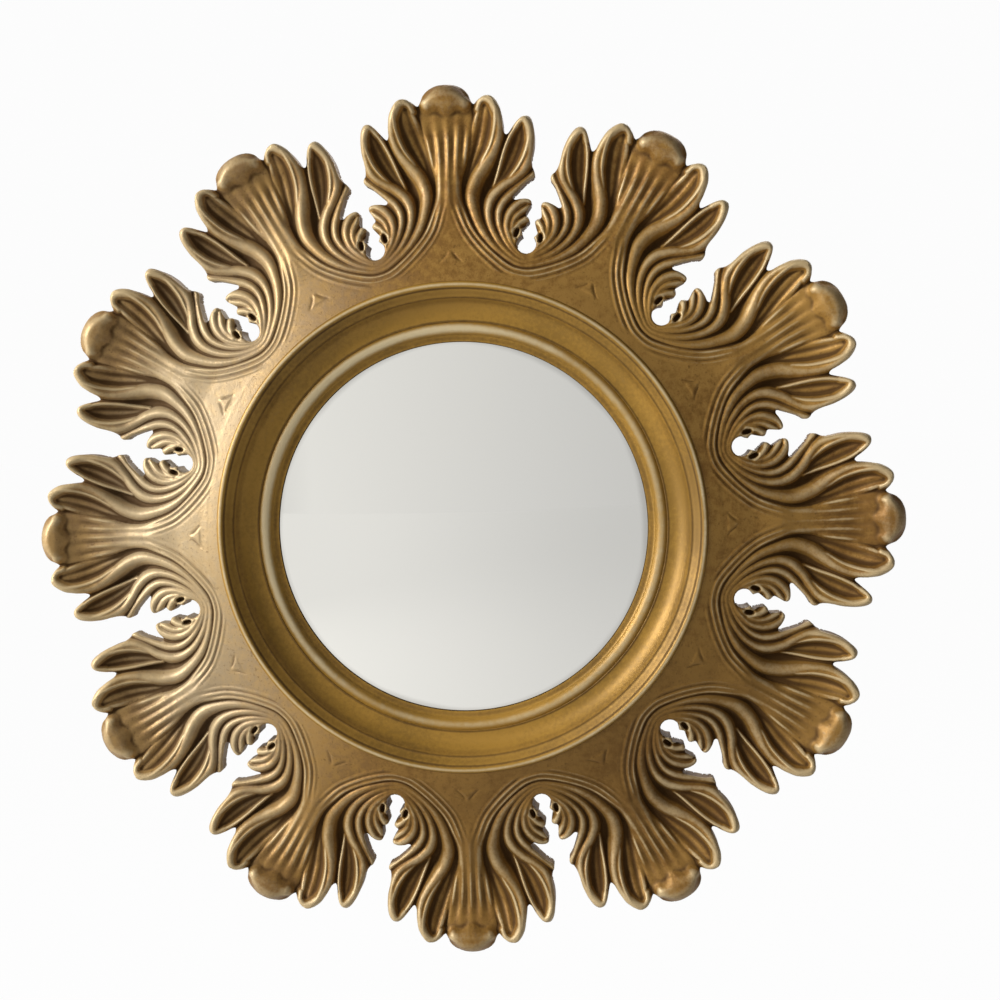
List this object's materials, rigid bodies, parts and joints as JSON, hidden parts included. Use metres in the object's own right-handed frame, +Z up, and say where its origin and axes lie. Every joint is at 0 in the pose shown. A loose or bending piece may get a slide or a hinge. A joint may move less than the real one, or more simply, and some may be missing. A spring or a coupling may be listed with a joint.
{
  "type": "convex butlers mirror",
  "caption": "Round convex wall mirror in a turned moulding, set in a wide carved giltwood sunburst frame of acanthus plumes.",
  "frame": {"origin": "centre of the mirror on the wall plane, at the back face of the backing ring", "axes": "-Y out of the wall towards the viewer, +Z up, +X to the viewer's right"},
  "size_m": [0.7204, 0.0462, 0.7204],
  "materials": {
    "gilt_wood": "antique gilding, rubbed",
    "bare_wood": "bare limewood, aged",
    "silvered_glass": "silvered",
    "felt": "felt",
    "cork": "cork",
    "board": "hardboard",
    "steel": "zinc plated",
    "brass": "brushed"
  },
  "bodies": {
    "frame": {"plume_01": "gilt_wood", "plume_02": "gilt_wood", "plume_03": "gilt_wood", "plume_04": "gilt_wood", "plume_05": "gilt_wood", "plume_06": "gilt_wood", "plume_07": "gilt_wood", "plume_08": "gilt_wood", "plume_09": "gilt_wood", "plume_10": "gilt_wood", "plume_11": "gilt_wood", "plume_12": "gilt_wood", "moulding_ring": "gilt_wood", "base_ring": "bare_wood", "mirror_plate": "silvered_glass", "seat_felt": "felt", "spacer_ring": "cork", "back_board": "board", "turn_button_screws": "steel", "hanger_plate_left": "steel", "hanger_plate_right": "steel", "hanger_screws": "steel", "plume_screws": "steel", "moulding_screws": "steel", "joint_dowels": "bare_wood"},
    "turn_button_1": {"turn_button_1": "brass"},
    "turn_button_2": {"turn_button_2": "brass"},
    "turn_button_3": {"turn_button_3": "brass"},
    "turn_button_4": {"turn_button_4": "brass"},
    "turn_button_5": {"turn_button_5": "brass"},
    "turn_button_6": {"turn_button_6": "brass"}
  },
  "joints": [
    {"name": "turn_button_1_turn", "type": "hinge", "parent": "frame", "child": "turn_button_1", "pos_m": [0.15242, -0.00395, 0.088], "axis": [0, 1, 0], "range_deg": [-90, 90]},
    {"name": "turn_button_2_turn", "type": "hinge", "parent": "frame", "child": "turn_button_2", "pos_m": [0, -0.00395, 0.176], "axis": [0, 1, 0], "range_deg": [-90, 90]},
    {"name": "turn_button_3_turn", "type": "hinge", "parent": "frame", "child": "turn_button_3", "pos_m": [-0.15242, -0.00395, 0.088], "axis": [0, 1, 0], "range_deg": [-90, 90]},
    {"name": "turn_button_4_turn", "type": "hinge", "parent": "frame", "child": "turn_button_4", "pos_m": [-0.15242, -0.00395, -0.088], "axis": [0, 1, 0], "range_deg": [-90, 90]},
    {"name": "turn_button_5_turn", "type": "hinge", "parent": "frame", "child": "turn_button_5", "pos_m": [0, -0.00395, -0.176], "axis": [0, 1, 0], "range_deg": [-90, 90]},
    {"name": "turn_button_6_turn", "type": "hinge", "parent": "frame", "child": "turn_button_6", "pos_m": [0.15242, -0.00395, -0.088], "axis": [0, 1, 0], "range_deg": [-90, 90]}
  ]
}
